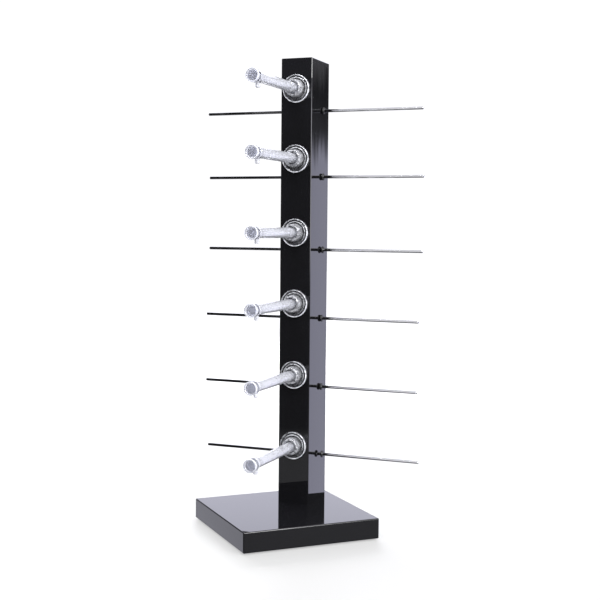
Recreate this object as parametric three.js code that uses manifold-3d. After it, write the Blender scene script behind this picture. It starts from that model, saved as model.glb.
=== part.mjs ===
// Countertop display stand for six pairs of glasses, in millimetres with +Z up.
// The pegs point along -Y and the rods lie along X. The origin is the middle of the base pad's
// underside. The square base stands corner to the front, and the column stands towards its back corner.
import * as THREE from "three";
import { mergeVertices } from "three/addons/utils/BufferGeometryUtils.js";
import Module from "manifold-3d";

const wasm = await Module();
wasm.setup();

// Base
const PAD_SIDE = 128;
const PAD_THICKNESS = 1.5;
const BASE_SIDE = 141;
const BASE_THICKNESS = 20;
const EDGE_CHAMFER = 0.8;
const BASE_TOP = PAD_THICKNESS + BASE_THICKNESS;
const BASE_TURN = Math.PI / 4;

// Column, a hollow box glued up from sheet
const COLUMN_WIDTH = 33;
const COLUMN_DEPTH = 49;
const COLUMN_HEIGHT = 450;
const COLUMN_Y = 47.5;
const COLUMN_CHAMFER = 0.6;
const SHEET = 4;
const COLUMN_FRONT = COLUMN_Y - COLUMN_DEPTH / 2;
const COLUMN_BACK = COLUMN_Y + COLUMN_DEPTH / 2;
const COLUMN_TOP = BASE_TOP + COLUMN_HEIGHT;
const CAP_UNDERSIDE = COLUMN_TOP - SHEET;
const PLUG_HEIGHT = 26;

// Tiers, from the top one down
const PEG_HEIGHTS = [441, 371.5, 297.5, 226, 153.5, 81];
const ROD_HEIGHTS = [421.5, 354.5, 280, 209.5, 138.5, 68];
const ROD_Y = COLUMN_Y + 6;
const ROD_SHIFTS = [5.5, 7, 7, 4, 3.5, 6];
const RIGHT_RING_GAPS = [0.25, 0.25, 0.75, 0.25, 0.5, 2.25];

// Clear pegs, measured outwards from the column's front face
const PEG_REACH = 110;
const FLANGE_RADIUS = 14;
const FLANGE_THICKNESS = 3;
const FLANGE_DISH = 0.6;
const HUB_ROOT_RADIUS = 9.8;
const HUB_FACE_RADIUS = 8.2;
const HUB_REACH = 12;
const SOCKET_RADIUS = 5.5;
const TUBE_ROOT_RADIUS = 5.25;
const TUBE_END_RADIUS = 5;
const TUBE_REACH = 93;
const BORE_RADIUS = 3.3;
const BORE_START = 16;
const BORE_TAPER = 2;
const COLLAR_RADIUS = 6.3;
const COLLAR_START = 99.5;
const COLLAR_WIDTH = 2.25;
const NECK_RADIUS = 4.7;
const DISC_RADIUS = 6.75;
const DISC_WIDTH = 2.25;
const SPIGOT_RADIUS = 3.1;
const SPIGOT_START = 86;
const NUB_RADIUS = 2.4;
const NUB_REACH = 96.25;
const NUB_DROP = 10.25;

// Rods and their rubber rings
const ROD_RADIUS = 1.6;
const ROD_LENGTH = 235;
const ROD_HOLE_RADIUS = 1.85;
const RING_PLAY = 3;
const RING_WIDTH = 2;
const RING_RADIUS = 3.5;
const RING_BORE_RADIUS = 1.7;

// Screws
const PEG_SCREW_RADIUS = 1.95;
const PEG_SCREW_HOLE = 2.2;
const PEG_SCREW_HEAD_RADIUS = 3.8;
const PEG_SCREW_HEAD_HEIGHT = 2.8;
const PEG_SCREW_GRIP = 13;
const BASE_SCREW_RADIUS = 2.5;
const BASE_SCREW_HOLE = 2.75;
const BASE_SCREW_HEAD_RADIUS = 4.5;
const BASE_SCREW_HEAD_HEIGHT = 4.5;
const BASE_SCREW_LENGTH = 36;
const BASE_SCREW_SPREAD = 12;
const COUNTERBORE_RADIUS = 5.2;
const COUNTERBORE_DEPTH = 6;
const SOCKET_KEY_DEPTH = 1.6;
const SOCKET_KEY_SIDES = 6;
const SCREW_POINT = 1;

// Length of the tools that drill the sheets, enough to pass right through one
const DRILL_LENGTH = 3 * SHEET;

// Facets round each kind of turned piece
const FLANGE_FACETS = 20;
const PEG_FACETS = 16;
const SMALL_FACETS = 12;

const blackAcrylic = new THREE.MeshStandardMaterial({ color: 0x08080a, roughness: 0.06, metalness: 0 });
const clearPlastic = new THREE.MeshStandardMaterial({
  color: 0xe6e9f0,
  roughness: 0.08,
  metalness: 0,
  transparent: true,
  opacity: 0.45,
});
const polishedSteel = new THREE.MeshStandardMaterial({ color: 0xc9cbce, roughness: 0.12, metalness: 1 });
const zincSteel = new THREE.MeshStandardMaterial({ color: 0xa6a9ac, roughness: 0.35, metalness: 1 });
const blackRubber = new THREE.MeshStandardMaterial({ color: 0x0c0c0c, roughness: 0.8, metalness: 0 });
const padFoam = new THREE.MeshStandardMaterial({ color: 0x151515, roughness: 0.95, metalness: 0 });

// Booleans

function toSolid(geometry) {
  const bare = geometry.clone();
  bare.deleteAttribute("normal");
  bare.deleteAttribute("uv");
  const merged = mergeVertices(bare);
  return new wasm.Manifold(
    new wasm.Mesh({
      numProp: 3,
      vertProperties: new Float32Array(merged.attributes.position.array),
      triVerts: new Uint32Array(merged.index.array),
    }),
  );
}

function toGeometry(solid) {
  const mesh = solid.getMesh();
  const geometry = new THREE.BufferGeometry();
  geometry.setAttribute("position", new THREE.BufferAttribute(mesh.vertProperties, 3));
  geometry.setIndex(new THREE.BufferAttribute(mesh.triVerts, 1));
  geometry.computeVertexNormals();
  return geometry;
}

function cut(geometry, tools) {
  const solid = tools.reduce((left, tool) => left.subtract(toSolid(tool)), toSolid(geometry));
  return toGeometry(solid);
}

function join(first, second) {
  return toGeometry(toSolid(first).add(toSolid(second)));
}

// Basic shapes

function box(width, depth, bottom, top) {
  return new THREE.BoxGeometry(width, depth, top - bottom).translate(0, 0, (bottom + top) / 2);
}

// A rectangle with chamfered corners, centred on the origin.
function chamferedOutline(width, depth, chamfer) {
  const x = width / 2;
  const y = depth / 2;
  const outline = new THREE.Shape();
  outline.moveTo(-x + chamfer, -y);
  outline.lineTo(x - chamfer, -y);
  outline.lineTo(x, -y + chamfer);
  outline.lineTo(x, y - chamfer);
  outline.lineTo(x - chamfer, y);
  outline.lineTo(-x + chamfer, y);
  outline.lineTo(-x, y - chamfer);
  outline.lineTo(-x, -y + chamfer);
  outline.closePath();
  return outline;
}

// A block with every edge chamfered, from one height to another.
function chamferedBlock(width, depth, bottom, top, chamfer) {
  return new THREE.ExtrudeGeometry(chamferedOutline(width, depth, chamfer), {
    depth: top - bottom - 2 * chamfer,
    bevelThickness: chamfer,
    bevelSize: chamfer,
    bevelOffset: -chamfer,
    bevelSegments: 1,
  }).translate(0, 0, bottom + chamfer);
}

// A solid turned about Y from [radius, y] points, either closed on the axis or closed on itself.
function turned(points, facets) {
  return new THREE.LatheGeometry(
    points.map(([radius, y]) => new THREE.Vector2(radius, y)),
    facets,
  );
}

function cylinderAlongZ(radius, bottom, top, facets) {
  return new THREE.CylinderGeometry(radius, radius, top - bottom, facets)
    .rotateX(Math.PI / 2)
    .translate(0, 0, (bottom + top) / 2);
}

function cylinderAlongX(radius, length, facets) {
  return new THREE.CylinderGeometry(radius, radius, length, facets).rotateZ(Math.PI / 2);
}

function addMesh(parent, name, geometry, material, position = [0, 0, 0]) {
  const mesh = new THREE.Mesh(geometry, material);
  mesh.name = name;
  mesh.position.set(...position);
  parent.add(mesh);
  return mesh;
}

// Base

function baseScrewPlaces() {
  return {
    front: [0, COLUMN_Y - BASE_SCREW_SPREAD],
    back: [0, COLUMN_Y + BASE_SCREW_SPREAD],
  };
}

function makeBase(parent) {
  const turnedGroup = new THREE.Group();
  turnedGroup.rotation.z = BASE_TURN;
  parent.add(turnedGroup);
  addMesh(turnedGroup, "base_pad", box(PAD_SIDE, PAD_SIDE, 0, PAD_THICKNESS), padFoam);
  const block = chamferedBlock(BASE_SIDE, BASE_SIDE, PAD_THICKNESS, BASE_TOP, EDGE_CHAMFER);
  const tools = Object.values(baseScrewPlaces()).flatMap(([x, y]) => [
    cylinderAlongZ(BASE_SCREW_HOLE, 0, BASE_TOP + SHEET, SMALL_FACETS).translate(x, y, 0),
    cylinderAlongZ(COUNTERBORE_RADIUS, 0, PAD_THICKNESS + COUNTERBORE_DEPTH, PEG_FACETS).translate(x, y, 0),
  ]);
  const unturned = tools.map((tool) => tool.rotateZ(-BASE_TURN));
  addMesh(turnedGroup, "base_block", cut(block, unturned), blackAcrylic);
}

// A socket-headed screw along Z whose head bears at height zero, with its shank above.
function baseScrew() {
  const shank = BASE_SCREW_LENGTH;
  const head = BASE_SCREW_HEAD_HEIGHT;
  const body = turned(
    [
      [0, -head],
      [BASE_SCREW_HEAD_RADIUS, -head],
      [BASE_SCREW_HEAD_RADIUS, 0],
      [BASE_SCREW_RADIUS, 0],
      [BASE_SCREW_RADIUS, shank - SCREW_POINT],
      [BASE_SCREW_RADIUS - SCREW_POINT, shank],
      [0, shank],
    ],
    SMALL_FACETS,
  ).rotateX(Math.PI / 2);
  const key = cylinderAlongZ(
    BASE_SCREW_RADIUS,
    -head - SOCKET_KEY_DEPTH,
    -head + SOCKET_KEY_DEPTH,
    SOCKET_KEY_SIDES,
  );
  return cut(body, [key]);
}

function makeBaseScrews(parent) {
  for (const [side, [x, y]] of Object.entries(baseScrewPlaces())) {
    const seat = PAD_THICKNESS + COUNTERBORE_DEPTH;
    addMesh(parent, "base_screw_" + side, baseScrew(), zincSteel, [x, y, seat]);
  }
}

// Column

// A wall sheet of the column: the two outer long edges are chamfered, the two inner ones are square.
function coverSheet(outerSide) {
  const x = COLUMN_WIDTH / 2;
  const outline = new THREE.Shape();
  outline.moveTo(-x, 0);
  outline.lineTo(-x, outerSide * (SHEET - COLUMN_CHAMFER));
  outline.lineTo(-x + COLUMN_CHAMFER, outerSide * SHEET);
  outline.lineTo(x - COLUMN_CHAMFER, outerSide * SHEET);
  outline.lineTo(x, outerSide * (SHEET - COLUMN_CHAMFER));
  outline.lineTo(x, 0);
  outline.closePath();
  return new THREE.ExtrudeGeometry(outline, {
    depth: CAP_UNDERSIDE - BASE_TOP,
    bevelEnabled: false,
  }).translate(0, COLUMN_Y + outerSide * (COLUMN_DEPTH / 2 - SHEET), BASE_TOP);
}

function makeFrontPanel(parent) {
  const drills = PEG_HEIGHTS.map((z) =>
    new THREE.CylinderGeometry(
      PEG_SCREW_HOLE,
      PEG_SCREW_HOLE,
      DRILL_LENGTH,
      SMALL_FACETS,
    ).translate(0, COLUMN_FRONT, z),
  );
  addMesh(parent, "column_front_panel", cut(coverSheet(-1), drills), blackAcrylic);
}

function makeSidePanels(parent) {
  const inner = COLUMN_DEPTH - 2 * SHEET;
  const x = (COLUMN_WIDTH - SHEET) / 2;
  for (const [side, sign] of [["left", -1], ["right", 1]]) {
    const sheet = box(SHEET, inner, BASE_TOP, CAP_UNDERSIDE).translate(sign * x, COLUMN_Y, 0);
    const drills = ROD_HEIGHTS.map((z) =>
      cylinderAlongX(ROD_HOLE_RADIUS, DRILL_LENGTH, SMALL_FACETS).translate(sign * x, ROD_Y, z),
    );
    addMesh(parent, "column_" + side + "_panel", cut(sheet, drills), blackAcrylic);
  }
}

// The lid has chamfered upper edges and a square underside.
function makeCap(parent) {
  const block = chamferedBlock(
    COLUMN_WIDTH,
    COLUMN_DEPTH,
    CAP_UNDERSIDE - SHEET,
    COLUMN_TOP,
    COLUMN_CHAMFER,
  );
  const waste = box(2 * COLUMN_WIDTH, 2 * COLUMN_DEPTH, CAP_UNDERSIDE - 2 * SHEET, CAP_UNDERSIDE);
  addMesh(parent, "column_cap", cut(block, [waste]), blackAcrylic, [0, COLUMN_Y, 0]);
}

// The solid plug that fills the column's foot and takes the base screws.
function makeFootPlug(parent) {
  const width = COLUMN_WIDTH - 2 * SHEET;
  const depth = COLUMN_DEPTH - 2 * SHEET;
  const block = box(width, depth, BASE_TOP, BASE_TOP + PLUG_HEIGHT).translate(0, COLUMN_Y, 0);
  const drills = Object.values(baseScrewPlaces()).map(([x, y]) =>
    cylinderAlongZ(BASE_SCREW_HOLE, 0, COLUMN_HEIGHT, SMALL_FACETS).translate(x, y, 0),
  );
  addMesh(parent, "column_foot_plug", cut(block, drills), blackAcrylic);
}

function makeColumn(parent) {
  makeFrontPanel(parent);
  addMesh(parent, "column_back_panel", coverSheet(1), blackAcrylic);
  makeSidePanels(parent);
  makeCap(parent);
  makeFootPlug(parent);
}

// Pegs: profiles hold [radius, reach] and reach is measured forwards from the column's front face.

function pegPiece(profile, facets) {
  return turned(
    profile.map(([radius, reach]) => [radius, COLUMN_FRONT - reach]).reverse(),
    facets,
  );
}

function pegFlange() {
  const round = 0.7;
  const floor = FLANGE_THICKNESS - FLANGE_DISH;
  return pegPiece(
    [
      [PEG_SCREW_HOLE, 0],
      [FLANGE_RADIUS, 0],
      [FLANGE_RADIUS, FLANGE_THICKNESS - round],
      [FLANGE_RADIUS - round, FLANGE_THICKNESS],
      [FLANGE_RADIUS - 3 * round, floor],
      [HUB_ROOT_RADIUS, floor],
      [HUB_FACE_RADIUS, HUB_REACH - round],
      [HUB_FACE_RADIUS - round, HUB_REACH],
      [SOCKET_RADIUS, HUB_REACH],
      [SOCKET_RADIUS, FLANGE_THICKNESS],
      [PEG_SCREW_HOLE, FLANGE_THICKNESS],
      [PEG_SCREW_HOLE, 0],
    ],
    FLANGE_FACETS,
  );
}

function pegTube() {
  return pegPiece(
    [
      [PEG_SCREW_HOLE, FLANGE_THICKNESS],
      [TUBE_ROOT_RADIUS, FLANGE_THICKNESS],
      [TUBE_END_RADIUS, TUBE_REACH],
      [BORE_RADIUS, TUBE_REACH],
      [BORE_RADIUS, BORE_START],
      [PEG_SCREW_HOLE, BORE_START - BORE_TAPER],
      [PEG_SCREW_HOLE, FLANGE_THICKNESS],
    ],
    PEG_FACETS,
  );
}

function pegTip() {
  const round = 0.6;
  const body = pegPiece(
    [
      [0, SPIGOT_START],
      [SPIGOT_RADIUS, SPIGOT_START],
      [SPIGOT_RADIUS, TUBE_REACH],
      [TUBE_END_RADIUS, TUBE_REACH],
      [TUBE_END_RADIUS, COLLAR_START],
      [COLLAR_RADIUS, COLLAR_START + round],
      [COLLAR_RADIUS, COLLAR_START + COLLAR_WIDTH],
      [NECK_RADIUS, COLLAR_START + COLLAR_WIDTH],
      [NECK_RADIUS, PEG_REACH - DISC_WIDTH],
      [DISC_RADIUS, PEG_REACH - DISC_WIDTH],
      [DISC_RADIUS, PEG_REACH - round],
      [DISC_RADIUS - round, PEG_REACH],
      [0, PEG_REACH],
    ],
    PEG_FACETS,
  );
  const nub = turned(
    [
      [0, -NUB_DROP],
      [NUB_RADIUS - 2 * round, -NUB_DROP],
      [NUB_RADIUS, 2 * round - NUB_DROP],
      [NUB_RADIUS, 0],
      [0, 0],
    ],
    SMALL_FACETS,
  )
    .rotateX(Math.PI / 2)
    .translate(0, COLUMN_FRONT - NUB_REACH, 0);
  return join(body, nub);
}

// A socket-headed screw along the peg's axis, its head inside the column behind the front sheet.
function pegScrew() {
  const body = pegPiece(
    [
      [0, -SHEET - PEG_SCREW_HEAD_HEIGHT],
      [PEG_SCREW_HEAD_RADIUS, -SHEET - PEG_SCREW_HEAD_HEIGHT],
      [PEG_SCREW_HEAD_RADIUS, -SHEET],
      [PEG_SCREW_RADIUS, -SHEET],
      [PEG_SCREW_RADIUS, PEG_SCREW_GRIP - SCREW_POINT],
      [PEG_SCREW_RADIUS - SCREW_POINT, PEG_SCREW_GRIP],
      [0, PEG_SCREW_GRIP],
    ],
    SMALL_FACETS,
  );
  const headEnd = COLUMN_FRONT + SHEET + PEG_SCREW_HEAD_HEIGHT;
  const key = new THREE.CylinderGeometry(
    PEG_SCREW_RADIUS,
    PEG_SCREW_RADIUS,
    2 * SOCKET_KEY_DEPTH,
    SOCKET_KEY_SIDES,
  ).translate(0, headEnd, 0);
  return cut(body, [key]);
}

function makePegs(parent) {
  const pieces = [
    ["peg_flange_", pegFlange(), clearPlastic],
    ["peg_tube_", pegTube(), clearPlastic],
    ["peg_tip_", pegTip(), clearPlastic],
    ["peg_screw_", pegScrew(), zincSteel],
  ];
  PEG_HEIGHTS.forEach((z, index) => {
    for (const [name, geometry, material] of pieces) {
      addMesh(parent, name + (index + 1), geometry, material, [0, 0, z]);
    }
  });
}

// Rods

function templeRod() {
  const half = ROD_LENGTH / 2;
  const round = 0.8;
  return turned(
    [
      [0, -half],
      [ROD_RADIUS - round, -half],
      [ROD_RADIUS, -half + round],
      [ROD_RADIUS, half - round],
      [ROD_RADIUS - round, half],
      [0, half],
    ],
    SMALL_FACETS,
  ).rotateZ(Math.PI / 2);
}

function rubberRing() {
  const half = RING_WIDTH / 2;
  const round = 0.5;
  return turned(
    [
      [RING_BORE_RADIUS, -half],
      [RING_RADIUS - round, -half],
      [RING_RADIUS, -half + round],
      [RING_RADIUS, half - round],
      [RING_RADIUS - round, half],
      [RING_BORE_RADIUS, half],
      [RING_BORE_RADIUS, -half],
    ],
    SMALL_FACETS,
  ).rotateZ(Math.PI / 2);
}

// Each rod floats endwise by RING_PLAY between the ring outside the left wall and the right one.
function makeRods(parent) {
  const rod = templeRod();
  const ring = rubberRing();
  const wall = COLUMN_WIDTH / 2 + RING_WIDTH / 2;
  ROD_HEIGHTS.forEach((z, index) => {
    const tier = index + 1;
    const rightGap = RIGHT_RING_GAPS[index];
    const leftGap = RING_PLAY - rightGap;
    addMesh(parent, "temple_rod_" + tier, rod, polishedSteel, [ROD_SHIFTS[index], ROD_Y, z]);
    addMesh(parent, "ring_left_" + tier, ring, blackRubber, [-wall - leftGap, ROD_Y, z]);
    addMesh(parent, "ring_right_" + tier, ring, blackRubber, [wall + rightGap, ROD_Y, z]);
  });
}

const stand = new THREE.Group();
makeBase(stand);
makeBaseScrews(stand);
makeColumn(stand);
makePegs(stand);
makeRods(stand);

export default stand;
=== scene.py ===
"""Looks of a six-tier display stand for glasses: gloss black acrylic, clear pegs and steel rods."""

import math

import bmesh
import bpy
from mathutils import Matrix, Vector


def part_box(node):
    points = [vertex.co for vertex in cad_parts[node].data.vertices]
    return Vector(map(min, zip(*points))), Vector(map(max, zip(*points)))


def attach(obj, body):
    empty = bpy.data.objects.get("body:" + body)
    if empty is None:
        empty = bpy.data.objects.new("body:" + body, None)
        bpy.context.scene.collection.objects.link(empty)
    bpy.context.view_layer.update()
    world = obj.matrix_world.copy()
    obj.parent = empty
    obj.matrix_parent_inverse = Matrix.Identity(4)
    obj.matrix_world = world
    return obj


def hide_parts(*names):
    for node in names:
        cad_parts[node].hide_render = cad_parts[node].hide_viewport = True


MM = 0.001
TIERS = range(1, 7)

# Acrylic
SLAB_CHAMFER = 0.8 * MM
COLUMN_CHAMFER = 0.6 * MM
EDGE_SOFTNESS = 0.2 * MM
SEAM_SOFTNESS = 0.09 * MM
ROD_HOLE_RADIUS = 1.85 * MM
SCREW_HOLE_RADIUS = 2.2 * MM
THROUGH_ONE_SHEET = 24 * MM

# Holes under the slab
BASE_SCREW_HOLE_RADIUS = 2.75 * MM
COUNTERBORE_RADIUS = 5.2 * MM
COUNTERBORE_LENGTH = 20 * MM
THROUGH_SLAB = 60 * MM

# Pad
PAD_CORNER = 3 * MM
PAD_EDGE = 0.3 * MM

# Screws: radius, radius and height of the head, and pitch
BASE_SCREW_RADIUS = 2.5 * MM
BASE_SCREW_HEAD_RADIUS = 4.5 * MM
BASE_SCREW_HEAD_HEIGHT = 4.5 * MM
BASE_SCREW_PITCH = 0.8 * MM
PEG_SCREW_RADIUS = 1.95 * MM
PEG_SCREW_HEAD_RADIUS = 3.8 * MM
PEG_SCREW_PITCH = 0.7 * MM

# Rods and rings: rounding of a rod's ends as a share of its radius, a ring's play on its rod, fillets
ROD_END_ROUNDING = 0.75
RING_CLEARANCE = 0.05 * MM
RING_BORE_FILLET = 0.3 * MM
RING_FILLET = 0.85 * MM

# Steps round a turned piece, a small turned piece, a hole and a fillet
ROUND_STEPS = 64
SMALL_ROUND_STEPS = 40
HOLE_STEPS = 48
FILLET_STEPS = 5
SHARP_ANGLE = 35.0

UP = (0, 0, 1)
DOWN = (0, 0, -1)
FORWARD = (0, -1, 0)
ALONG_RODS = (1, 0, 0)

# Camera, at the height and distance of someone sitting at the counter
CAMERA_PLACE = Vector((0.419, -1.026, 0.304))
CAMERA_AZIMUTH = math.radians(21.504)
CAMERA_PITCH = math.radians(3.772)
CAMERA_ROLL = math.radians(0.515)
CAMERA_LENS = 67.17

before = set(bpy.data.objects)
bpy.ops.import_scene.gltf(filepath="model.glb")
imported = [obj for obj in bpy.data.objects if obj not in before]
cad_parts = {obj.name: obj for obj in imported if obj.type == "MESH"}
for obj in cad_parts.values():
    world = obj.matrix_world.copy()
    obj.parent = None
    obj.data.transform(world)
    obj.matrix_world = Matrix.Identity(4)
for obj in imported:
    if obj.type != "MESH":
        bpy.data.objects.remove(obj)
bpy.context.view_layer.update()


# ---------------------------------------------------------------- mesh helpers


def object_from(bm, name, sharp_angle=SHARP_ANGLE):
    """A smooth-shaded object from a bmesh, with sharp edges kept and flat faces shaded flat."""
    bmesh.ops.recalc_face_normals(bm, faces=bm.faces)
    mesh = bpy.data.meshes.new(name)
    bm.to_mesh(mesh)
    bm.free()
    mesh.shade_smooth()
    mesh.set_sharp_from_angle(angle=math.radians(sharp_angle))
    piece = bpy.data.objects.new(name, mesh)
    bpy.context.scene.collection.objects.link(piece)
    weighted = piece.modifiers.new("flat_faces", "WEIGHTED_NORMAL")
    weighted.keep_sharp = True
    return piece


def filleted(points, closed=False):
    """A profile of (radius, along) from (radius, along, fillet) corners, each rounded by its fillet."""
    corners = [Vector(p[:2]) for p in points]
    fillets = [p[2] if len(p) > 2 else 0.0 for p in points]
    count = len(corners)
    out = []
    for i, corner in enumerate(corners):
        if fillets[i] <= 0 or (not closed and i in (0, count - 1)):
            out.append(corner)
            continue
        before = corners[i - 1] - corner
        after = corners[(i + 1) % count] - corner
        half = before.angle(after) / 2
        reach = min(fillets[i] / math.tan(half), 0.49 * before.length, 0.49 * after.length)
        start = corner + before.normalized() * reach
        end = corner + after.normalized() * reach
        centre = corner + (before.normalized() + after.normalized()).normalized() * reach / math.cos(half)
        first = start - centre
        sweep = first.angle_signed(end - centre)
        for step in range(FILLET_STEPS + 1):
            turn = Matrix.Rotation(-sweep * step / FILLET_STEPS, 2)
            out.append(centre + turn @ first)
    return [tuple(p) for p in out]


def skin_rings(bm, rings, steps, closed=False):
    """Faces between each ring and the next. A ring is a single vertex where it lies on the axis."""
    pairs = list(zip(rings, rings[1:]))
    if closed:
        pairs.append((rings[-1], rings[0]))
    for low, high in pairs:
        for k in range(steps):
            n = (k + 1) % steps
            if len(low) == 1:
                bm.faces.new((low[0], high[k], high[n]))
            elif len(high) == 1:
                bm.faces.new((low[k], low[n], high[0]))
            else:
                bm.faces.new((low[k], low[n], high[n], high[k]))


def turned(name, profile, direction, centre, closed=False, steps=ROUND_STEPS, haze=None):
    """A solid turned about a line through centre along direction, from (radius, along) points.

    haze, where given, is a function of (radius, along, angle), with both lengths in millimetres, that says
    how milky the plastic is there.
    """
    axis = Vector(direction).normalized()
    side = axis.orthogonal().normalized()
    across = axis.cross(side)
    bm = bmesh.new()
    milky = bm.verts.layers.float.new("haze")
    rings = []
    for radius, along in profile:
        base = Vector(centre) + axis * along
        ring = []
        for k in range(1 if radius < 1e-7 else steps):
            angle = 2 * math.pi * k / steps
            ring.append(bm.verts.new(base + (side * math.cos(angle) + across * math.sin(angle)) * radius))
            ring[-1][milky] = haze(radius / MM, along / MM, angle) if haze else 0.0
        rings.append(ring)
    skin_rings(bm, rings, steps, closed)
    return object_from(bm, name)


def block(lo, hi):
    bm = bmesh.new()
    bmesh.ops.create_cube(bm, size=1.0)
    for v in bm.verts:
        v.co = Vector((low + (high - low) * (share + 0.5) for low, high, share in zip(lo, hi, v.co)))
    return bm


def bevel(bm, edges, width, segments):
    bmesh.ops.bevel(
        bm,
        geom=list(edges),
        offset=width,
        segments=segments,
        profile=0.5,
        affect="EDGES",
        clamp_overlap=True,
    )


def combine(first, second, operation):
    """Applies a boolean of a second closed object to the first, and removes the second."""
    change = first.modifiers.new("combine", "BOOLEAN")
    change.object = second
    change.operation = operation
    change.solver = "EXACT"
    first.modifiers.move(len(first.modifiers) - 1, 0)
    with bpy.context.temp_override(object=first, active_object=first):
        bpy.ops.object.modifier_apply(modifier=change.name)
    bpy.data.objects.remove(second)
    first.data.set_sharp_from_angle(angle=math.radians(SHARP_ANGLE))


def drill(piece, holes):
    """Cuts (centre, direction, radius, length) holes through a piece."""
    for centre, direction, radius, length in holes:
        bm = bmesh.new()
        bmesh.ops.create_cone(
            bm,
            cap_ends=True,
            segments=HOLE_STEPS,
            radius1=radius,
            radius2=radius,
            depth=length,
        )
        turn = Vector(UP).rotation_difference(Vector(direction)).to_matrix().to_4x4()
        bm.transform(Matrix.Translation(centre) @ turn)
        mesh = bpy.data.meshes.new("drill")
        bm.to_mesh(mesh)
        bm.free()
        tool = bpy.data.objects.new("drill", mesh)
        bpy.context.scene.collection.objects.link(tool)
        combine(piece, tool, "DIFFERENCE")
        bpy.data.meshes.remove(mesh)


def settle(piece, body, node, material):
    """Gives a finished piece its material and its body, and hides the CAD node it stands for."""
    piece.data.materials.clear()
    piece.data.materials.append(material)
    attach(piece, body)
    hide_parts(node)
    return piece


# ---------------------------------------------------------------- material helpers


class Graph:
    """Short ways to add and join shader nodes in one node tree."""

    def __init__(self, tree):
        self.tree = tree
        self.nodes = tree.nodes

    def link(self, a, b):
        self.tree.links.new(a, b)

    def feed(self, socket, value):
        """Gives a socket a number, a colour or another node's output."""
        if isinstance(value, (int, float)):
            socket.default_value = value
        elif isinstance(value, tuple):
            socket.default_value = (*value, 1.0)
        else:
            self.link(value, socket)

    def math(self, operation, a, b=0.0):
        node = self.nodes.new("ShaderNodeMath")
        node.operation = operation
        self.feed(node.inputs[0], a)
        self.feed(node.inputs[1], b)
        return node.outputs[0]

    def remap(self, value, low, high, to_low=0.0, to_high=1.0):
        node = self.nodes.new("ShaderNodeMapRange")
        node.interpolation_type = "SMOOTHSTEP"
        for name, number in zip(("From Min", "From Max", "To Min", "To Max"), (low, high, to_low, to_high)):
            node.inputs[name].default_value = number
        self.link(value, node.inputs["Value"])
        return node.outputs["Result"]

    def blend(self, share, first, second):
        node = self.nodes.new("ShaderNodeMix")
        node.data_type = "RGBA"
        self.link(share, node.inputs["Factor"])
        self.feed(node.inputs["A"], first)
        self.feed(node.inputs["B"], second)
        return node.outputs["Result"]

    def parts(self, vector):
        node = self.nodes.new("ShaderNodeSeparateXYZ")
        self.link(vector, node.inputs["Vector"])
        return node.outputs

    def noise_at(self, vector, scale, detail, roughness=0.5, distortion=0.0):
        node = self.nodes.new("ShaderNodeTexNoise")
        node.inputs["Scale"].default_value = scale
        node.inputs["Detail"].default_value = detail
        node.inputs["Roughness"].default_value = roughness
        node.inputs["Distortion"].default_value = distortion
        self.link(vector, node.inputs["Vector"])
        return node.outputs["Fac"]


class Shader(Graph):
    """A material with one Principled shader and procedural detail in object space."""

    def __init__(self, name):
        self.material = bpy.data.materials.new(name)
        self.material.use_nodes = True
        super().__init__(self.material.node_tree)
        self.main = self.nodes["Principled BSDF"]
        self.place = self.nodes.new("ShaderNodeTexCoord").outputs["Object"]

    def set(self, **values):
        for name, value in values.items():
            self.main.inputs[name.replace("_", " ")].default_value = value

    def drive(self, name, value):
        self.link(value, self.main.inputs[name])

    def noise(self, scale, detail=3.0, **options):
        return self.noise_at(self.place, scale, detail, **options)

    def stretched_noise(self, scales, detail):
        """Noise with its own scale along each axis."""
        node = self.nodes.new("ShaderNodeMapping")
        node.inputs["Scale"].default_value = scales
        self.link(self.place, node.inputs["Vector"])
        return self.noise_at(node.outputs["Vector"], 1.0, detail)

    def bump(self, height, distance, strength=1.0, after=None):
        """Adds relief, distance metres deep, on top of an earlier bump where after gives one."""
        node = self.nodes.new("ShaderNodeBump")
        node.inputs["Strength"].default_value = strength
        node.inputs["Distance"].default_value = distance
        self.link(height, node.inputs["Height"])
        if after is not None:
            self.link(after, node.inputs["Normal"])
        self.link(node.outputs["Normal"], self.main.inputs["Normal"])
        return node.outputs["Normal"]


def black_acrylic():
    """Polished black sheet: wavy by microns, with faint wiping haze, hairline scratches and some dust."""
    s = Shader("black_acrylic")
    s.set(IOR=1.49)
    haze = s.noise(14.0, detail=4.0, roughness=0.6)
    fine = s.stretched_noise((900.0, 900.0, 26.0), 2.0)
    cross = s.stretched_noise((40.0, 40.0, 1100.0), 2.0)
    scratch = s.math("MAXIMUM", s.remap(fine, 0.69, 0.74), s.remap(cross, 0.7, 0.75))
    dust = s.remap(s.noise(1500.0, detail=1.0), 0.8, 0.85)
    polished = s.remap(haze, 0.42, 0.72, 0.012, 0.05)
    rough = s.math("ADD", polished, s.math("MULTIPLY", scratch, 0.09))
    s.drive("Roughness", s.math("ADD", rough, s.math("MULTIPLY", dust, 0.5)))
    tint = s.blend(haze, (0.003, 0.003, 0.0036), (0.0055, 0.0055, 0.0066))
    s.drive("Base Color", s.blend(dust, tint, (0.05, 0.05, 0.05)))
    wave = s.bump(s.noise(9.0, detail=1.0), 0.06 * MM)
    s.bump(scratch, 0.004 * MM, strength=0.5, after=wave)
    return s.material


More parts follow.
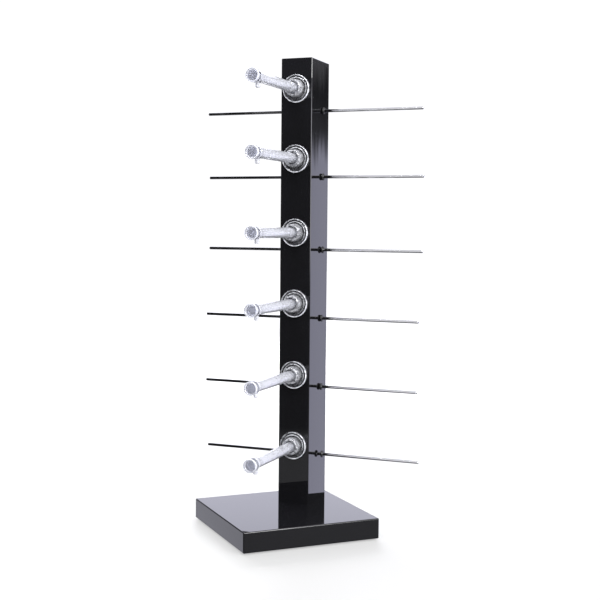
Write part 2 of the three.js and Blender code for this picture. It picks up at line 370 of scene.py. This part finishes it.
def clear_plastic(name, faintest, milkiest, painted_shade_from=0.9):
    """Clear moulded plastic: milky where the haze attribute says so, with flow ripples and rubbed spots.

    The milkiness is mottled between faintest and milkiest times the attribute. Above the last argument's
    value the colour greys to lavender: painted shade, standing in for the dark column seen through the
    clear plastic.
    """
    s = Shader(name)
    s.set(IOR=1.49)
    attribute = s.nodes.new("ShaderNodeAttribute")
    attribute.attribute_name = "haze"
    haze = attribute.outputs["Fac"]
    cloud = s.noise(70.0, detail=3.0)
    mottle = s.noise(420.0, detail=1.0, distortion=0.3)
    rub = s.remap(s.stretched_noise((900.0, 60.0, 900.0), 2.0), 0.62, 0.74)
    rough = s.math("ADD", s.remap(cloud, 0.4, 0.75, 0.02, 0.06), s.math("MULTIPLY", rub, 0.08))
    s.drive("Roughness", s.math("ADD", rough, s.math("MULTIPLY", haze, 0.12)))
    cloudy = s.math("MULTIPLY", haze, s.remap(mottle, 0.36, 0.64, faintest, milkiest))
    s.drive("Transmission Weight", s.math("SUBTRACT", 1.0, s.math("MINIMUM", cloudy, 0.95)))
    milk = s.blend(cloud, (0.76, 0.77, 0.83), (0.83, 0.84, 0.89))
    # painted shade: past the threshold the milky colour greys to lavender, as if the dark column showed
    # through
    painted_shade = s.remap(haze, painted_shade_from, painted_shade_from + 0.18)
    s.drive("Base Color", s.blend(painted_shade, milk, (0.53, 0.54, 0.62)))
    flow = s.bump(s.noise(90.0, detail=2.0, distortion=0.4), 0.03 * MM)
    s.bump(mottle, 0.01 * MM, after=flow)
    return s.material


def polished_steel():
    """Drawn and polished bar: fine lines along its length, a little haze and a few rubbed marks."""
    s = Shader("polished_steel")
    s.set(Metallic=1.0)
    lines = s.stretched_noise((8.0, 2600.0, 2600.0), 3.0)
    haze = s.noise(45.0, detail=3.0)
    s.drive("Base Color", s.blend(haze, (0.72, 0.725, 0.735), (0.83, 0.83, 0.835)))
    rough = s.remap(haze, 0.35, 0.7, 0.04, 0.12)
    s.drive("Roughness", s.math("ADD", rough, s.remap(lines, 0.45, 0.75, 0.0, 0.06)))
    s.bump(lines, 0.003 * MM)
    return s.material


def zinc_steel():
    """Bright zinc plating, with its fine crystal patches."""
    s = Shader("zinc_steel")
    s.set(Metallic=1.0)
    patch = s.noise(700.0, detail=4.0)
    s.drive("Base Color", s.blend(patch, (0.5, 0.51, 0.53), (0.7, 0.7, 0.69)))
    s.drive("Roughness", s.remap(patch, 0.3, 0.7, 0.22, 0.42))
    s.bump(patch, 0.01 * MM)
    return s.material


def black_rubber():
    """Moulded rubber: fine grain, and a greyish bloom in patches."""
    s = Shader("black_rubber")
    s.set(IOR=1.52)
    grain = s.noise(2400.0, detail=3.0)
    bloom = s.noise(300.0, detail=3.0)
    bloomed = s.remap(bloom, 0.5, 0.8)
    s.drive("Base Color", s.blend(bloomed, (0.004, 0.004, 0.004), (0.012, 0.012, 0.013)))
    s.drive("Roughness", s.remap(bloom, 0.3, 0.7, 0.42, 0.66))
    s.bump(grain, 0.02 * MM)
    return s.material


def pad_foam():
    """Closed-cell foam."""
    s = Shader("pad_foam")
    cells = s.nodes.new("ShaderNodeTexVoronoi")
    cells.inputs["Scale"].default_value = 1300.0
    s.link(s.place, cells.inputs["Vector"])
    patch = s.noise(120.0, detail=3.0)
    s.drive("Base Color", s.blend(patch, (0.012, 0.012, 0.012), (0.03, 0.03, 0.03)))
    s.drive("Roughness", s.remap(patch, 0.3, 0.7, 0.8, 0.95))
    s.bump(cells.outputs["Distance"], 0.1 * MM)
    return s.material


ACRYLIC = black_acrylic()
CLEAR = clear_plastic("clear_plastic", 0.85, 1.1, painted_shade_from=0.52)
CLOUDED = clear_plastic("clouded_plastic", 0.5, 1.3)
STEEL = polished_steel()
ZINC = zinc_steel()
RUBBER = black_rubber()
FOAM = pad_foam()


# ---------------------------------------------------------------- base


def middle(node):
    lo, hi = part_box(node)
    return (lo + hi) / 2


def slab_side(node, chamfer):
    """The side of a square that stands corner to the front, from its CAD node's box."""
    lo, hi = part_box(node)
    return (hi.x - lo.x) / math.sqrt(2) + chamfer


def make_slab():
    lo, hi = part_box("base_block")
    half = slab_side("base_block", SLAB_CHAMFER) / 2
    bm = block((-half, -half, lo.z), (half, half, hi.z))
    bevel(bm, bm.edges, SLAB_CHAMFER, 1)
    bevel(bm, bm.edges, EDGE_SOFTNESS, 2)
    bm.transform(Matrix.Rotation(math.pi / 4, 4, "Z"))
    slab = object_from(bm, "slab")
    holes = []
    for side in ("front", "back"):
        node = "base_screw_" + side
        screw_lo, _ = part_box(node)
        x, y, _ = middle(node)
        seat = screw_lo.z + BASE_SCREW_HEAD_HEIGHT
        holes.append(((x, y, (lo.z + hi.z) / 2), UP, BASE_SCREW_HOLE_RADIUS, THROUGH_SLAB))
        holes.append(((x, y, seat - COUNTERBORE_LENGTH / 2), UP, COUNTERBORE_RADIUS, COUNTERBORE_LENGTH))
    drill(slab, holes)
    settle(slab, "stand", "base_block", ACRYLIC)


def make_pad():
    lo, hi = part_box("base_pad")
    half = slab_side("base_pad", 0.0) / 2
    bm = block((-half, -half, lo.z), (half, half, hi.z))
    upright = [e for e in bm.edges if abs(e.verts[0].co.z - e.verts[1].co.z) > MM]
    bevel(bm, upright, PAD_CORNER, 5)
    bevel(bm, bm.edges, PAD_EDGE, 2)
    bm.transform(Matrix.Rotation(math.pi / 4, 4, "Z"))
    settle(object_from(bm, "pad"), "stand", "base_pad", FOAM)


# ---------------------------------------------------------------- column


def column_box():
    lo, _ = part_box("column_front_panel")
    _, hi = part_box("column_back_panel")
    return lo, hi


def acrylic_panel(node, chamfered, holes=()):
    """A sheet on its CAD node's box. chamfered says which edges, by their middle, have the broad polish."""
    lo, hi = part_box(node)
    bm = block(lo, hi)
    broad = [e for e in bm.edges if chamfered((e.verts[0].co + e.verts[1].co) / 2)]
    if broad:
        bevel(bm, broad, COLUMN_CHAMFER, 1)
    bevel(bm, bm.edges, SEAM_SOFTNESS, 2)
    piece = object_from(bm, node.replace("column_", "acrylic_"))
    if holes:
        drill(piece, holes)
    settle(piece, "stand", node, ACRYLIC)


def make_column():
    lo, hi = column_box()

    def near(value, target):
        return abs(value - target) < 0.1 * MM

    def peg_hole(tier):
        place = middle("peg_screw_%d" % tier)
        return ((place.x, lo.y, place.z), (0, 1, 0), SCREW_HOLE_RADIUS, THROUGH_ONE_SHEET)

    def rod_hole(tier, x):
        place = middle("ring_left_%d" % tier)
        return ((x, place.y, place.z), ALONG_RODS, ROD_HOLE_RADIUS, THROUGH_ONE_SHEET)

    def outer(y):
        return lambda p: near(p.y, y) and (near(p.x, lo.x) or near(p.x, hi.x))

    acrylic_panel("column_front_panel", outer(lo.y), [peg_hole(t) for t in TIERS])
    acrylic_panel("column_back_panel", outer(hi.y))
    acrylic_panel("column_left_panel", lambda p: False, [rod_hole(t, lo.x) for t in TIERS])
    acrylic_panel("column_right_panel", lambda p: False, [rod_hole(t, hi.x) for t in TIERS])
    cap_lo, cap_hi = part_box("column_cap")
    acrylic_panel("column_cap", lambda p: near(p.z, cap_hi.z) or near(p.z, (cap_lo.z + cap_hi.z) / 2))
    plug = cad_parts["column_foot_plug"].data
    plug.materials.clear()
    plug.materials.append(ACRYLIC)


# ---------------------------------------------------------------- pegs

# Peg sizes in millimetres, with reach measured from the column's front face
SCREW_BORE = 2.2
RIM_RADIUS = 13.9
RIM_TOP = 3.0
RIDGE_TOP = 2.9
HUB_TOP = 12.0
SOCKET_RADIUS = 5.5
SOCKET_FLOOR = 3.0
TUBE_BORE = 3.3
TUBE_END_RADIUS = 5.0
TUBE_REACH = 93.0
NUB_REACH = 96.25
NUB_RADIUS = 2.4
NUB_DROP = 10.25
COLLAR_RADIUS = 6.3
COLLAR_TOP = 101.7
CORE_REACH = 101.5
NECK_RADIUS = 4.7
DISC_RADIUS = 6.75
DISC_START = 107.75
PEG_REACH = 110.0

# Directions round a peg, seen from the front: 0 is the lower left, 90 the lower right, 270 the upper left
# The sides where the rim's painted highlight is weakest and where the ridge's painted highlight is
# strongest
RIM_PAINTED_SHADE_SIDE = math.radians(275)
RIDGE_PAINTED_HIGHLIGHT_SIDE = math.radians(200)
HAZE_EDGE = 0.1


# Each profile is a list of (radius, reach, fillet) corners.


def flange_profile():
    """A disc with a raised rim, a ridge, and a tall hub whose dished face leads into the tube's socket."""
    return [
        (SCREW_BORE, 0.0, 0.2),
        (RIM_RADIUS, 0.0, 0.25),
        (RIM_RADIUS, RIM_TOP, 0.34),
        (13.2, RIM_TOP, 0.34),
        (12.6, 1.2, 0.5),
        (11.6, 1.2, 0.5),
        (11.3, RIDGE_TOP, 0.4),
        (10.6, RIDGE_TOP, 0.4),
        (10.0, 1.4, 0.5),
        (9.6, 1.6, 0.4),
        (8.3, 11.2, 0.8),
        (7.6, HUB_TOP, 0.5),
        (6.9, HUB_TOP, 0.4),
        (6.4, 11.2, 0.4),
        (SOCKET_RADIUS, 10.6, 0.3),
        (SOCKET_RADIUS, SOCKET_FLOOR, 0.2),
        (SCREW_BORE, SOCKET_FLOOR, 0.2),
    ]


def tube_profile():
    """A slightly tapered tube, solid at its root but for the screw's bore."""
    return [
        (SCREW_BORE, SOCKET_FLOOR, 0.2),
        (5.25, SOCKET_FLOOR, 0.4),
        (5.22, 13.0),
        (5.19, 25.0),
        (TUBE_END_RADIUS, TUBE_REACH, 0.25),
        (TUBE_BORE, TUBE_REACH, 0.25),
        (TUBE_BORE, 16.0, 1.2),
        (SCREW_BORE, 14.0, 0.4),
    ]


def sleeve_profile():
    """The tip's plug inside the tube, its barrel and its collar, up to the milky face under the neck."""
    return [
        (0.0, 86.0),
        (3.1, 86.0, 0.5),
        (3.1, TUBE_REACH, 0.1),
        (TUBE_END_RADIUS, TUBE_REACH, 0.25),
        (TUBE_END_RADIUS, 99.3, 0.6),
        (COLLAR_RADIUS, 100.0, 0.5),
        (COLLAR_RADIUS, COLLAR_TOP, 0.5),
        (5.0, COLLAR_TOP, 0.15),
        (4.8, CORE_REACH, 0.1),
        (0.0, CORE_REACH),
    ]


def stop_profile():
    """The tip's clear neck and its front disc, dished a little."""
    return [
        (0.0, COLLAR_TOP),
        (NECK_RADIUS, COLLAR_TOP, 0.1),
        (NECK_RADIUS, DISC_START, 0.7),
        (DISC_RADIUS, DISC_START, 0.5),
        (DISC_RADIUS, PEG_REACH, 0.5),
        (5.8, PEG_REACH, 0.4),
        (5.3, 109.4, 0.5),
        (0.0, 109.4),
    ]


def nub_profile():
    return [(0.0, NUB_DROP), (NUB_RADIUS, NUB_DROP, 1.3), (2.2, 0.0), (0.0, 0.0)]


def from_to(value, low, high):
    """1 from low to high and 0 beyond, with a soft edge."""
    return max(0.0, min(1.0, (value - low) / HAZE_EDGE + 1, (high - value) / HAZE_EDGE + 1))


def flange_haze(radius, along, angle):
    """Milky on the rim, the ridge and the hub's face, clear between them; the rim's and the ridge's
    milkiness swings round the peg as painted highlight, the rim's strongest towards the lower right and the
    ridge's towards the upper right.
    """
    # painted highlight: the rim is milkier, and so brighter, towards the lower right
    rim = 0.66 - 0.34 * math.cos(angle - RIM_PAINTED_SHADE_SIDE)
    rim *= from_to(radius, 12.8, 14.0) * from_to(along, 1.4, 3.1)
    # painted highlight: the ridge is milkier, and so brighter, towards the upper right
    ridge = 0.27 + 0.23 * math.cos(angle - RIDGE_PAINTED_HIGHLIGHT_SIDE)
    ridge *= from_to(radius, 10.5, 11.4) * from_to(along, 2.2, 3.0)
    hub = 0.36 * from_to(radius, 6.3, 8.7) * from_to(along, 10.9, 12.1)
    return max(0.07, rim, ridge, hub)


def tube_haze(radius, along, angle):
    """Clearer at the root, which sits in the hub."""
    return 0.34 if along > 24 else 0.2


def tip_haze(radius, along, angle):
    """Milky at the collar's covered face and the rims of collar and disc, less on the collar and barrel.
    The covered face is milky enough to take the clear plastic's painted shade, a lavender grey, and the
    rims take some of it.
    """
    # painted shade: this milkiness greys the covered face to lavender, standing in for the dark column seen
    # down the bore
    core = 0.8 * from_to(along, CORE_REACH - 0.05, CORE_REACH + 0.05)
    wall = 0.34 * from_to(along, 0.0, CORE_REACH - 0.1)
    rims = 0.6 * from_to(radius, 6.15, 6.8)
    return max(0.06, core, wall, rims)


def nub_haze(radius, along, angle):
    return 0.85


def moulded(name, profile, root, haze, direction=FORWARD, closed=False, steps=ROUND_STEPS):
    """A turned piece of a peg from a profile in millimetres."""
    corners = [tuple(value * MM for value in corner) for corner in profile]
    return turned(name, filleted(corners, closed), direction, root, closed, steps, haze)


def add_solid(first, second):
    """Puts a second closed solid into the first one's mesh, where a joint is bonded."""
    bm = bmesh.new()
    bm.from_mesh(first.data)
    bm.from_mesh(second.data)
    bm.to_mesh(first.data)
    bm.free()
    bpy.data.objects.remove(second)


def make_tip(tier, root):
    tip = moulded("tip_%d" % tier, sleeve_profile(), root, tip_haze)
    nub_root = root + Vector(FORWARD) * NUB_REACH * MM
    nub = moulded("nub", nub_profile(), nub_root, nub_haze, direction=DOWN, steps=SMALL_ROUND_STEPS)
    combine(tip, nub, "UNION")
    add_solid(tip, moulded("stop", stop_profile(), root, tip_haze))
    return tip


def make_pegs():
    lo, _ = column_box()
    for tier in TIERS:
        root = Vector((0, lo.y, middle("peg_tube_%d" % tier).z))
        tip = make_tip(tier, root)
        flange = moulded("flange_%d" % tier, flange_profile(), root, flange_haze, closed=True)
        tube = moulded("tube_%d" % tier, tube_profile(), root, tube_haze, closed=True)
        settle(flange, "stand", "peg_flange_%d" % tier, CLOUDED)
        settle(tube, "stand", "peg_tube_%d" % tier, CLEAR)
        settle(tip, "stand", "peg_tip_%d" % tier, CLEAR)


# ---------------------------------------------------------------- screws


SCREW_STEPS = 24
RINGS_PER_TURN = 8


def ring_of(bm, centre, axis, radii, sides=SCREW_STEPS):
    """A ring of vertices with a radius for each step, round or, with fewer sides, a polygon."""
    side = axis.orthogonal().normalized()
    across = axis.cross(side)
    sector = 2 * math.pi / sides
    ring = []
    for k, radius in enumerate(radii):
        angle = 2 * math.pi * k / SCREW_STEPS
        if sides < SCREW_STEPS:
            radius *= math.cos(sector / 2) / math.cos(angle % sector - sector / 2)
        ring.append(bm.verts.new(centre + (side * math.cos(angle) + across * math.sin(angle)) * radius))
    return ring


def head_profile(radius, head, height):
    """(radius, along, sides) of a socket head: the hex socket, the rim, and the face that bears at 0."""
    socket = 0.45 * head
    return [
        (socket, -0.5 * height, 6),
        (socket, -0.9 * height, 6),
        (1.1 * socket, -height, 6),
        (0.9 * head, -height, SCREW_STEPS),
        (head, -0.88 * height, SCREW_STEPS),
        (head, -0.05 * height, SCREW_STEPS),
        (0.97 * head, 0.0, SCREW_STEPS),
        (radius, 0.0, SCREW_STEPS),
    ]


def thread_radius(radius, pitch, along, share, to_end):
    """The radius at a share of a turn and a distance along the thread, which fades out towards the end."""
    depth = 0.55 * pitch
    phase = (along / pitch - share) % 1.0
    crest = 1.0 - abs(2.0 * phase - 1.0)
    end_share = min(1.0, to_end / (1.5 * pitch) + 0.35)
    return (radius - depth * (1.0 - crest)) * end_share


def threaded_screw(name, head, head_height, radius, length, pitch, direction, seat):
    """A socket-headed screw: its head bears at seat, and its thread runs from there along direction."""
    axis = Vector(direction).normalized()
    bm = bmesh.new()
    rings = [[bm.verts.new(seat - axis * 0.5 * head_height)]]
    for ring_radius, along, sides in head_profile(radius, head, head_height):
        rings.append(ring_of(bm, seat + axis * along, axis, [ring_radius] * SCREW_STEPS, sides))
    count = int(length / pitch * RINGS_PER_TURN) + 1
    for j in range(1, count + 1):
        along = length * j / count
        shares = [k / SCREW_STEPS for k in range(SCREW_STEPS)]
        radii = [thread_radius(radius, pitch, along, share, length - along) for share in shares]
        rings.append(ring_of(bm, seat + axis * along, axis, radii))
    rings.append([bm.verts.new(seat + axis * length)])
    skin_rings(bm, rings, SCREW_STEPS)
    return object_from(bm, name, sharp_angle=50.0)


def make_screws():
    _, panel_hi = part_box("column_front_panel")
    for tier in TIERS:
        node = "peg_screw_%d" % tier
        screw_lo, screw_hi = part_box(node)
        seat = Vector((0, panel_hi.y, middle(node).z))
        screw = threaded_screw(
            "fixing_%d" % tier,
            PEG_SCREW_HEAD_RADIUS,
            screw_hi.y - seat.y,
            PEG_SCREW_RADIUS,
            seat.y - screw_lo.y,
            PEG_SCREW_PITCH,
            FORWARD,
            seat,
        )
        settle(screw, "stand", node, ZINC)
    for side in ("front", "back"):
        node = "base_screw_" + side
        screw_lo, screw_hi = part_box(node)
        seat = Vector((middle(node).x, middle(node).y, screw_lo.z + BASE_SCREW_HEAD_HEIGHT))
        screw = threaded_screw(
            "bolt_" + side,
            BASE_SCREW_HEAD_RADIUS,
            BASE_SCREW_HEAD_HEIGHT,
            BASE_SCREW_RADIUS,
            screw_hi.z - seat.z,
            BASE_SCREW_PITCH,
            UP,
            seat,
        )
        settle(screw, "stand", node, ZINC)


# ---------------------------------------------------------------- rods


def make_rod(tier):
    """The bar, with rounded ends. Returns its radius."""
    node = "temple_rod_%d" % tier
    lo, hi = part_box(node)
    radius = (hi.z - lo.z) / 2
    half = (hi.x - lo.x) / 2
    fillet = ROD_END_ROUNDING * radius
    outline = filleted([(0.0, -half), (radius, -half, fillet), (radius, half, fillet), (0.0, half)])
    rod = turned("rod_%d" % tier, outline, ALONG_RODS, middle(node), steps=SMALL_ROUND_STEPS)
    settle(rod, "rod_set_%d" % tier, node, STEEL)
    return radius


def make_ring(tier, side, rod_radius):
    node = "ring_%s_%d" % (side, tier)
    lo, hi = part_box(node)
    outer = (hi.z - lo.z) / 2
    half = (hi.x - lo.x) / 2
    bore = rod_radius + RING_CLEARANCE
    section = [
        (bore, -half, RING_BORE_FILLET),
        (outer, -half, RING_FILLET),
        (outer, half, RING_FILLET),
        (bore, half, RING_BORE_FILLET),
    ]
    outline = filleted(section, closed=True)
    ring = turned("o_%s_%d" % (side, tier), outline, ALONG_RODS, middle(node), True, SMALL_ROUND_STEPS)
    settle(ring, "rod_set_%d" % tier, node, RUBBER)


def make_rods():
    for tier in TIERS:
        rod_radius = make_rod(tier)
        for side in ("left", "right"):
            make_ring(tier, side, rod_radius)


# ---------------------------------------------------------------- studio


# The floor: a grey that takes faint shade, under a glow that grows until it meets the backdrop
FLOOR_HALF = 6.0
FLOOR_GREY = 0.15
FLOOR_ROUGHNESS = 0.6
GLOW_NEAR = 0.47
GLOW_FAR = 1.0
GLOW_STARTS = 0.25
GLOW_ENDS = 3.0


def floor_material():
    s = Shader("floor")
    s.set(Roughness=FLOOR_ROUGHNESS, Emission_Color=(1.0, 1.0, 1.0, 1.0))
    s.drive("Base Color", s.blend(s.noise(3.0), (FLOOR_GREY,) * 3, (0.97 * FLOOR_GREY,) * 3))
    distance = s.nodes.new("ShaderNodeVectorMath")
    distance.operation = "LENGTH"
    s.link(s.place, distance.inputs[0])
    glow = s.remap(distance.outputs["Value"], GLOW_STARTS, GLOW_ENDS, GLOW_NEAR, GLOW_FAR)
    s.drive("Emission Strength", glow)
    return s.material


def make_floor():
    bm = bmesh.new()
    bmesh.ops.create_grid(bm, x_segments=1, y_segments=1, size=FLOOR_HALF)
    mesh = bpy.data.meshes.new("floor")
    bm.to_mesh(mesh)
    bm.free()
    floor = bpy.data.objects.new("floor", mesh)
    bpy.context.scene.collection.objects.link(floor)
    mesh.materials.append(floor_material())
    floor.visible_glossy = False


def make_light(name, place, target, width, height, watts, mirrored=True):
    """A soft box, which shows in mirrored highlights unless told not to."""
    data = bpy.data.lights.new(name, "AREA")
    data.shape = "RECTANGLE"
    data.size = width
    data.size_y = height
    data.energy = watts
    light = bpy.data.objects.new(name, data)
    light.location = place
    light.rotation_mode = "QUATERNION"
    light.rotation_quaternion = (Vector(place) - Vector(target)).to_track_quat("Z", "Y")
    light.visible_camera = False
    light.visible_transmission = False
    light.visible_glossy = mirrored
    bpy.context.scene.collection.objects.link(light)


# Features a radian in the wandering edges of the panels
STREAKS_ACROSS = 320.0
STREAKS_ALONG = 12.0


class Sky(Graph):
    """The room round the stand, as soft-edged panels of light or shade, each laid over the last.

    An azimuth is in degrees, 0 towards the front (-Y) and positive towards +X. Only mirror-like surfaces
    show the panels: the camera, the clear plastic and matt surfaces see a plain backdrop.
    """

    def __init__(self, name, ambient):
        self.world = bpy.data.worlds.new(name)
        self.world.use_nodes = True
        super().__init__(self.world.node_tree)
        self.direction = self.nodes.new("ShaderNodeTexCoord").outputs["Generated"]
        self.colour = self.nodes.new("ShaderNodeRGB").outputs[0]
        self.colour.default_value = (*ambient, 1.0)

    def within(self, value, low, high, blur):
        """1 where low < value < high, 0 outside, with edges blurred to both sides."""
        above = self.remap(value, low - blur, low + blur)
        below = self.remap(self.math("SUBTRACT", high, value), -blur, blur)
        return self.math("MULTIPLY", above, below)

    def angles(self, azimuth):
        """The direction's azimuth from the given one, and its elevation, both in radians."""
        turn = self.nodes.new("ShaderNodeVectorRotate")
        turn.rotation_type = "Z_AXIS"
        turn.inputs["Angle"].default_value = math.radians(90 - azimuth)
        self.link(self.direction, turn.inputs["Vector"])
        parts = self.parts(turn.outputs["Vector"])
        return self.math("ARCTAN2", parts["Y"], parts["X"]), self.math("ARCSINE", parts["Z"])

    def streaks(self, offset, height):
        """Noise drawn out upright, from -0.5 to 0.5."""
        place = self.nodes.new("ShaderNodeCombineXYZ")
        self.link(self.math("MULTIPLY", offset, STREAKS_ACROSS), place.inputs["X"])
        self.link(self.math("MULTIPLY", height, STREAKS_ALONG), place.inputs["Y"])
        return self.math("SUBTRACT", self.noise_at(place.outputs["Vector"], 1.0, 2.0), 0.5)

    def panel(self, azimuths, elevations, colour, soft=3.0, ragged=0.0):
        """A panel between two azimuths and two elevations, its top and foot wandering by ragged degrees."""
        offset, height = self.angles(sum(azimuths) / 2)
        half = math.radians((azimuths[1] - azimuths[0]) / 2)
        blur = math.radians(soft)
        low, high = (math.radians(e) for e in elevations)
        across = self.within(offset, -half, half, blur)
        if ragged:
            wander = self.math("MULTIPLY", self.streaks(offset, height), 2 * math.radians(ragged))
            height = self.math("ADD", height, wander)
        mask = self.math("MULTIPLY", across, self.within(height, low, high, blur))
        self.colour = self.blend(mask, self.colour, colour)

    def band(self, sideways, behind, low, colour):
        """A band over the stand, between two values of the direction's X part.

        It ends where the direction's Y part reaches behind, and where its Z part falls to low.
        """
        parts = self.parts(self.direction)
        across = self.within(parts["X"], *sideways, 0.01)
        in_front = self.remap(self.math("SUBTRACT", behind, parts["Y"]), -0.03, 0.03)
        above = self.remap(parts["Z"], low - 0.05, low + 0.05)
        mask = self.math("MULTIPLY", self.math("MULTIPLY", across, in_front), above)
        self.colour = self.blend(mask, self.colour, colour)

    def finish(self, backdrop):
        """Shows the backdrop to every ray but a mirrored one, and makes this the scene's world."""
        path = self.nodes.new("ShaderNodeLightPath").outputs
        plain = self.math("MAXIMUM", path["Is Camera Ray"], path["Is Transmission Ray"])
        plain = self.math("MAXIMUM", plain, path["Is Diffuse Ray"])
        self.link(self.blend(plain, self.colour, backdrop), self.nodes["Background"].inputs["Color"])
        bpy.context.scene.world = self.world


def light_back(sky):
    """The ceiling, the wall behind to the left, and the low panel that the slab's side mirrors."""
    behind_left = (172, 235)
    left = (235, 262)
    sky.panel((-180, 180), (27, 90), (1.3, 1.3, 1.38), soft=6)
    sky.panel((behind_left[0], left[1]), (-60, 12), (0.3, 0.3, 0.33), soft=8)
    sky.panel(behind_left, (8, 42), (1.6, 1.6, 1.87), soft=4)
    sky.panel(left, (-60, -6), (0.9, 0.9, 1.02), soft=4)


def light_right(sky):
    """What the column's right side mirrors, the dim wall beyond the slab, and a strip for the near edge."""
    behind_right = (100, 174)
    right = (62, 104)
    strip = (65, 72)
    sky.panel(behind_right, (5.6, 9), (0.02, 0.02, 0.02), soft=1.5)
    sky.panel(behind_right, (7.6, 12), (0.26, 0.26, 0.28), soft=1.0, ragged=1.6)
    sky.panel(behind_right, (-40, 4.0), (1.15, 1.15, 1.45), soft=0.9, ragged=1.5)
    sky.panel(right, (-40, 20), (0.4, 0.4, 0.42))
    sky.panel(strip, (-2, 7), (7.0, 7.0, 7.6), soft=1.5, ragged=1.2)


def light_rods(sky):
    """Light over the right halves of the rods, shade over the left halves and the images in the column."""
    dark = (0.01, 0.01, 0.01)
    right_half = (-0.345, -0.24)
    left_half = (-0.66, -0.345)
    image = (0.22, 0.42)
    sky.band((right_half[0], 0.1), 0.3, -0.75, (0.35, 0.35, 0.37))
    sky.band(right_half, 0.3, -0.75, (0.8, 0.8, 0.84))
    sky.band(image, 0.15, -1.0, dark)
    sky.band(left_half, 0.2, -1.0, dark)


def light_front(sky):
    """What the column's front mirrors: a dim wall, brighter at the top and at the foot."""
    ahead = (-22.9, -19.5)
    sky.panel(ahead, (-90, 20), (0.06, 0.06, 0.06), soft=0.6)
    sky.panel(ahead, (6.5, 16), (0.13, 0.13, 0.15), soft=1.0, ragged=1.0)
    sky.panel(ahead, (-30, -10.6), (0.5, 0.5, 0.52), soft=0.4)


def make_sky():
    sky = Sky("studio", (0.1, 0.1, 0.11))
    light_back(sky)
    light_right(sky)
    light_rods(sky)
    light_front(sky)
    sky.finish((1.05, 1.05, 1.06))


def make_lights():
    """Soft boxes, each with its place, its target, its width and height, and its watts."""
    stand = (0, 0, 0.3)
    foot = (0, 0, 0)
    make_light("softbox_right", (1.39, -0.56, 1.16), stand, 0.5, 1.1, 26)
    make_light("softbox_high", (0.98, -0.31, 1.39), stand, 0.6, 0.6, 12)
    make_light("softbox_front", (0.0, -1.2, 1.35), stand, 0.5, 0.5, 20)
    make_light("softbox_left", (-1.3, -0.35, 0.55), stand, 0.4, 0.9, 8, mirrored=False)
    make_light("softbox_back", (-1.0, 1.35, 0.75), foot, 1.6, 0.6, 110, mirrored=False)


def make_camera():
    data = bpy.data.cameras.new("camera")
    data.lens = CAMERA_LENS
    data.sensor_width = 36.0
    camera = bpy.data.objects.new("camera", data)
    camera.matrix_world = (
        Matrix.Translation(CAMERA_PLACE)
        @ Matrix.Rotation(CAMERA_AZIMUTH, 4, "Z")
        @ Matrix.Rotation(math.pi / 2 - CAMERA_PITCH, 4, "X")
        @ Matrix.Rotation(CAMERA_ROLL, 4, "Z")
    )
    bpy.context.scene.collection.objects.link(camera)
    bpy.context.scene.camera = camera


make_camera()
make_slab()
make_pad()
make_column()
make_pegs()
make_screws()
make_rods()
make_floor()
make_sky()
make_lights()
bpy.context.scene.view_settings.view_transform = "Standard"
